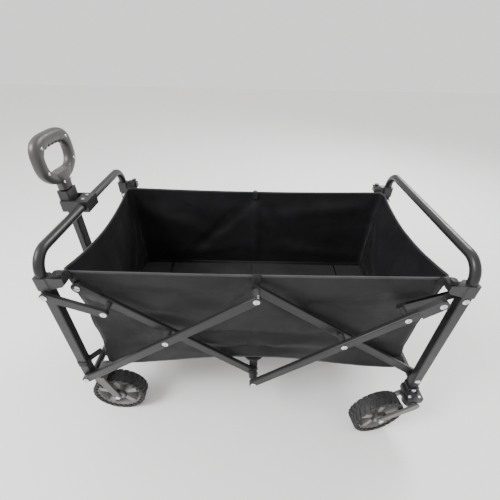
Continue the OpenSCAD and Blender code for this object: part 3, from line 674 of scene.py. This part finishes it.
# %% A loop round each front post
LOOP_W, LOOP_T, LOOP_SLACK = 0.02, 0.0007, 0.0006
LOOP_Z = FLOOR_Z + 0.012
for side, s in SIDES:
    x0, x1 = FRONT_X - POST_HALF_X - LOOP_SLACK, FRONT_X + POST_HALF_X + LOOP_SLACK
    y0, y1 = [s * (POST_Y + d * (POST_HALF_Y + LOOP_SLACK)) for d in (-1, 1)]
    start = (MID - TUB_HALF_L - 0.001, s * (TUB_HALF_W - 0.004), LOOP_Z)
    round_post = [(x, y, LOOP_Z) for x, y in ((x1, y0), (x0, y0), (x0, y1), (x1, y1), (x1, y0))]
    strap(side + "_post_loop", [start, *round_post], LOOP_W, (0, 0, 1), "front_frame", LOOP_T)

# %% A loop over the middle of each long rim
for side, s in SIDES:
    over_the_rim = [
        (MID, s * (TUB_HALF_W - 0.004), RIM_Z - 0.03),
        (MID, s * (TUB_HALF_W - 0.0035), RIM_Z - 0.006),
        (MID, s * (TUB_HALF_W - 0.001), RIM_Z - 0.003),
        (MID, s * (TUB_HALF_W + 0.0025), RIM_Z - 0.009),
        (MID, s * (TUB_HALF_W + 0.0025), RIM_Z - 0.03)]
    gather(strap(side + "_rim_loop", over_the_rim, 0.018, (1, 0, 0), "front_frame"))

# %% [markdown]
# ## Floor boards
# Four stiff boards, wrapped in the same cloth, lie in the tub. The two middle ones are hinged over
# the hub, where a strip of cloth joins them. A covered board is a slab with soft edges, a sewn
# line inside its rim and a face that isn't quite flat.

# %% Covered boards
SEAM_IN, SEAM_GROOVE = 0.012, 0.0009


def covered_board(node, body):
    """A slab with a sewn groove inside its rim and a face that isn't quite flat."""
    lo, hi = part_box(node)
    size, centre = hi - lo, (hi + lo) / 2
    shape = bmesh.new()
    cut = shape.loops.layers.uv.new("cut")
    bmesh.ops.create_cube(shape, size=1)
    bmesh.ops.scale(shape, vec=size, verts=shape.verts)
    top = [f for f in shape.faces if f.normal.z > 0.5]
    for step, drop in ((0.003, 0), (SEAM_IN, 0), (0.0012, -SEAM_GROOVE), (0.0012, SEAM_GROOVE)):
        bmesh.ops.inset_region(shape, faces=top, thickness=step, depth=drop)
    bmesh.ops.subdivide_edges(shape, edges=list({e for f in top for e in f.edges}), cuts=14,
                              use_grid_fill=True)
    rim = [e for e in shape.edges if e.is_valid and len(e.link_faces) == 2
           and e.calc_face_angle(0) > 1.0]
    bmesh.ops.bevel(shape, geom=rim, affect="EDGES", offset=0.0016, segments=3, profile=0.5,
                    material=-1)
    for vert in shape.verts:
        inner = min(size.x / 2 - abs(vert.co.x), size.y / 2 - abs(vert.co.y))
        if vert.co.z > 0 and inner > SEAM_IN + 0.004:
            place = vert.co * 14 + centre * 10
            vert.co.z += 0.0009 * noise.noise(place) - 0.0006
    for face in shape.faces:
        for loop in face.loops:
            loop[cut].uv = (loop.vert.co.x + loop.vert.co.z, loop.vert.co.y)
    bmesh.ops.translate(shape, vec=centre, verts=shape.verts)
    made = put("covered_" + node, shape, body, BOARD_CLOTH, sharp=50)
    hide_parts(node)


for node, body in (("front_edge_board", "front_frame"), ("front_floor_board", "front_board"),
                   ("rear_floor_board", "rear_board"), ("rear_edge_board", "rear_frame")):
    covered_board(node, body)

# %% The cloth hinge over the hub
HINGE_HALF = (low("rear_floor_board").x - high("front_floor_board").x) / 2 - 0.0005
HINGE_DIP, HINGE_T = 0.0022, 0.0012


def hinge_bend(along, across):
    x, y = along * 2 - 1, across * 2 - 1
    dip = HINGE_DIP * (1 - x * x)
    return Vector((MID + x * HINGE_HALF, y * BOARD_HALF_W, FLOOR_Z - HINGE_T - dip))


sew("board_hinge_cloth", cloth(8, 40, 0.018, 0.39, hinge_bend), HINGE_T, BOARD_CLOTH, "centre_hub")

# %% [markdown]
# ## Tyres
# The tyre's cross-section is spun into a ring, and the tread is two rows of slanting bars that
# meet in a chevron. Each bar is a block laid on the ring, so the tread is true geometry.

# %% One tyre on its side
TYRE_R = (high("front_near_tyre").z - low("front_near_tyre").z) / 2
TYRE_HALF = (high("front_near_tyre").y - low("front_near_tyre").y) / 2
RIM_R = (high("front_near_wheel").z - low("front_near_wheel").z) / 2
LUG_H = 0.0022


def tyre_shape():
    base_r = TYRE_R - LUG_H
    outline = [(RIM_R, 0.004 - TYRE_HALF), (RIM_R + 0.004, 0.0005 - TYRE_HALF),
               (base_r - 0.005, -TYRE_HALF), (base_r - 0.0015, 0.0028 - TYRE_HALF),
               (base_r, 0.008 - TYRE_HALF), (base_r + 0.0006, 0)]
    outline += [(r, -y) for r, y in reversed(outline[:-1])]
    shape = bmesh.new()
    verts = [shape.verts.new((r, y, 0)) for r, y in outline]
    edges = [shape.edges.new(pair) for pair in zip(verts, verts[1:])]
    edges.append(shape.edges.new((verts[-1], verts[0])))
    bmesh.ops.spin(shape, geom=verts + edges, cent=(0, 0, 0), axis=(0, 1, 0),
                   angle=2 * math.pi, steps=96, use_merge=True)
    return shape


LUGS, LUG_SLANT = 26, 0.62
LUG_WIDE, LUG_ALONG, LUG_DEEP = 0.0185, 0.0082, 0.005


def add_lugs(shape):
    """Two rows of slanting bars, each with a small block on the tyre's shoulder."""
    for i in range(LUGS):
        for side in (-1, 1):
            angle = 2 * math.pi * (i + (0.5 if side > 0 else 0)) / LUGS
            block = bmesh.ops.create_cube(shape, size=1)["verts"]
            bmesh.ops.scale(shape, vec=(LUG_DEEP, LUG_WIDE, LUG_ALONG), verts=block)
            for vert in block:
                vert.co.z += side * LUG_SLANT * vert.co.y
                if vert.co.x > 0:
                    vert.co.z *= 0.88
                    vert.co.y *= 0.94
            bmesh.ops.translate(shape, verts=block, vec=(
                TYRE_R - LUG_DEEP / 2 - 0.0001, side * LUG_WIDE * 0.5, 0))
            shoulder = bmesh.ops.create_cube(shape, size=1)["verts"]
            bmesh.ops.scale(shape, vec=(0.011, 0.004, 0.0075), verts=shoulder)
            bmesh.ops.translate(shape, verts=shoulder, vec=(
                TYRE_R - 0.0085, side * (TYRE_HALF - 0.0022), LUG_SLANT * LUG_WIDE * 0.98))
            bmesh.ops.rotate(shape, cent=(0, 0, 0), matrix=Matrix.Rotation(angle, 3, "Y"),
                             verts=block + shoulder)


# %% Four tyres in place
def centre_of(node):
    lo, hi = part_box(node)
    return (lo + hi) / 2


def set_on_wheel(shape, wheel, node):
    """Turn a shape about Z to lay its axle, which is Y, on the wheel's, and move it there."""
    joint = next(j for j in frame["joints"] if j["name"] == wheel + "_wheel_spin")
    axis = Vector(joint["axis"])
    bmesh.ops.rotate(shape, cent=(0, 0, 0), verts=shape.verts,
                     matrix=Matrix.Rotation(math.atan2(-axis.x, axis.y), 3, "Z"))
    bmesh.ops.translate(shape, vec=centre_of(node), verts=shape.verts)


WHEELS = [f"{end}_{side}" for end in ENDS for side, _ in SIDES]
for wheel in WHEELS:
    node = wheel + "_tyre"
    shape = tyre_shape()
    bmesh.ops.recalc_face_normals(shape, faces=shape.faces)
    add_lugs(shape)
    set_on_wheel(shape, wheel, node)
    tyre = put("lugged_" + node, shape, wheel + "_roller", RUBBER)
    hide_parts(node)

# %% [markdown]
# ## The grip
# The grip is a soft D, moulded in two halves that screw together. A ring section is spun round the
# finger hole and then pressed to the grip's outline, the neck joins it, and a fine remesh melts
# the two into one smooth moulding. Small ridges stand along the finger side.

# %% Outline of the grip
GRIP_X = high("grip_front").x
GRIP_TOP = high("grip_front").z
GRIP_FOOT = low("grip_front").z
GRIP_HALF = high("grip_front").y
GRIP_DEEP = (high("grip_back").x - low("grip_front").x) / 2
HOLE_Z = GRIP_TOP - 0.058
RING_BELOW = 0.060
HOLE_HALF, HOLE_ABOVE, HOLE_BELOW = 0.047, 0.027, 0.033
RIDGE_H, RIDGE_STEP = 0.0019, 0.014


def bulge(value, power):
    """A sine or cosine pressed outwards, which squares a circle a little."""
    return math.copysign(abs(value) ** power, value)


def grip_ring(turn, about):
    """A point of the grip's ring, turn round the hole from the top and about the section."""
    across, up = math.sin(turn), math.cos(turn)
    narrow = 1 - 0.30 * max(0, -up) ** 1.5
    outer = Vector((GRIP_HALF * bulge(across, 0.66) * narrow,
                    (GRIP_TOP - HOLE_Z if up > 0 else RING_BELOW) * bulge(up, 0.62)))
    inner = Vector((HOLE_HALF * bulge(across, 0.66) * (1 - 0.20 * max(0, -up)),
                    (HOLE_ABOVE if up > 0 else HOLE_BELOW) * bulge(up, 0.58)))
    if up > 0.3:
        inner.y -= RIDGE_H * math.cos(2 * math.pi * inner.x / RIDGE_STEP)
    middle, half = (outer + inner) / 2, (outer - inner) / 2
    flat = middle + half * bulge(math.cos(about), 0.85)
    deep = GRIP_DEEP * bulge(math.sin(about), 0.75) * (1 - 0.12 * max(0, -up))
    return Vector((GRIP_X + deep, flat.x, HOLE_Z + flat.y))


# %% The ring and the neck
NECK_TOP = HOLE_Z - 0.046
NECK_SECTIONS = [
    (GRIP_FOOT, 0.019, 0.0115), (GRIP_FOOT + 0.012, 0.0195, 0.012),
    (GRIP_FOOT + 0.024, 0.023, 0.0125), (NECK_TOP + 0.004, 0.036, 0.0125),
    (NECK_TOP + 0.014, 0.046, 0.0115)]


def add_ring(shape):
    bmesh.ops.create_grid(shape, x_segments=120, y_segments=28, size=math.pi)
    for vert in shape.verts:
        vert.co = grip_ring(vert.co.x, vert.co.y)
    bmesh.ops.remove_doubles(shape, verts=shape.verts, dist=0.00005)


def add_neck(shape):
    """A squared disc grown upwards through the sections, each a height, a width and a depth."""
    z, wide, deep = NECK_SECTIONS[0]
    rim = bmesh.ops.create_circle(shape, cap_ends=True, segments=32, radius=1)["verts"]
    for vert in rim:
        vert.co = Vector((GRIP_X + deep * bulge(vert.co.x, 0.6), wide * bulge(vert.co.y, 0.6), z))
    foot = rim[0].link_faces[:]
    top = foot
    for (_, old_wide, old_deep), (z, wide, deep) in zip(NECK_SECTIONS, NECK_SECTIONS[1:]):
        grown = bmesh.ops.extrude_face_region(shape, geom=top)["geom"]
        if top != foot:
            bmesh.ops.delete(shape, geom=top, context="FACES_ONLY")
        top = [g for g in grown if isinstance(g, bmesh.types.BMFace)]
        for vert in (g for g in grown if isinstance(g, bmesh.types.BMVert)):
            vert.co.x = GRIP_X + (vert.co.x - GRIP_X) * deep / old_deep
            vert.co.y *= wide / old_wide
            vert.co.z = z


# %% Melt them together
VOXEL = 0.0014
SMOOTH_ROUNDS = 3


def melted(shape):
    """One closed skin over overlapping shapes, smoothed where they meet."""
    data = bpy.data.meshes.new("melt")
    shape.to_mesh(data)
    shape.free()
    holder = bpy.data.objects.new("melt", data)
    bpy.context.scene.collection.objects.link(holder)
    remesh = holder.modifiers.new("voxels", "REMESH")
    remesh.mode = "VOXEL"
    remesh.voxel_size = VOXEL
    soft = holder.modifiers.new("soften", "SMOOTH")
    soft.factor = 0.5
    soft.iterations = SMOOTH_ROUNDS
    deps = bpy.context.evaluated_depsgraph_get()
    result = bmesh.new()
    result.from_mesh(bpy.data.meshes.new_from_object(holder.evaluated_get(deps)))
    bpy.data.objects.remove(holder)
    return result


rough_grip = bmesh.new()
add_ring(rough_grip)
add_neck(rough_grip)
grip = put("grip_shells", melted(rough_grip), "handle_slide", GRIP, sharp=0)
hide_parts("grip_front", "grip_back")

# %% [markdown]
# ## Small screws
# The grip and the caster blocks are held by small dome-headed screws with a hollow socket. One
# head is modelled and placed wherever a screw sits.

# %% Screw heads
SOCKET_R, SOCKET_FLOOR = 0.558, 0.12


def screw_head(shape, centre, out, radius):
    """A dome that looks along out, with its sizes as shares of its radius."""
    head = bmesh.ops.create_uvsphere(shape, u_segments=20, v_segments=10, radius=radius)["verts"]
    lower = [v for v in head if v.co.z < -1e-6]
    bmesh.ops.delete(shape, geom=lower, context="VERTS")
    head = [v for v in head if v.is_valid]
    bmesh.ops.scale(shape, vec=(1, 1, 0.55), verts=head)
    for vert in head:
        if vert.co.xy.length < SOCKET_R * radius:
            vert.co.z = SOCKET_FLOOR * radius
    turn = Vector(out).to_track_quat("Z", "Y").to_matrix()
    bmesh.ops.rotate(shape, cent=(0, 0, 0), matrix=turn, verts=head)
    bmesh.ops.translate(shape, vec=centre, verts=head)


def screws(name, body, places, out, radius):
    shape = bmesh.new()
    for place in places:
        screw_head(shape, place, out, radius)
    return put(name, shape, body, ZINC, sharp=40)


# %% Screws of the grip and the caster blocks
for name, way in (("front", -1), ("back", 1)):
    places = [grip_ring(turn, way * math.pi / 2) - Vector((way * 0.0006, 0, 0))
              for turn in (-0.85, 0.85, -1.85, 1.85)]
    places += [Vector((GRIP_X + way * 0.0118, y, GRIP_FOOT + 0.021)) for y in (-0.014, 0.014)]
    screws("grip_screws_" + name, "handle_slide", places, out=(way, 0, 0), radius=0.0036)

block_top = low("rear_posts").z
block_places = [(REAR_X + dx, s * (POST_Y + 0.027), block_top)
                for _, s in SIDES for dx in (-0.013, 0.013)]
screws("caster_block_screws", "rear_frame", block_places, out=(0, 0, 1), radius=0.0042)

# %% [markdown]
# ## Hub caps
# A raised cap covers each side of a wheel's hub. It is a low cone, pressed towards a square so
# that it reads as a moulded boss between the spokes.

# %% Hub caps
HUB_OUT = (high("front_near_wheel").y - low("front_near_wheel").y) / 2
CAP_R, CAP_TOP_R, CAP_H = 0.0205, 0.018, 0.0055
for wheel in WHEELS:
    shape = bmesh.new()
    for face_side in (-1, 1):
        cap = bmesh.ops.create_cone(shape, cap_ends=True, segments=32, radius1=CAP_R,
                                    radius2=CAP_TOP_R, depth=CAP_H)["verts"]
        for vert in cap:
            vert.co.x = CAP_R * bulge(vert.co.x / CAP_R, 0.72)
            vert.co.y = CAP_R * bulge(vert.co.y / CAP_R, 0.72)
        bmesh.ops.rotate(shape, cent=(0, 0, 0), verts=cap,
                         matrix=Matrix.Rotation(-face_side * math.pi / 2, 3, "X"))
        bmesh.ops.translate(shape, vec=(0, face_side * (HUB_OUT - 0.0029), 0), verts=cap)
    set_on_wheel(shape, wheel, wheel + "_wheel")
    put(wheel + "_hub_caps", shape, wheel + "_roller", BRACKET)
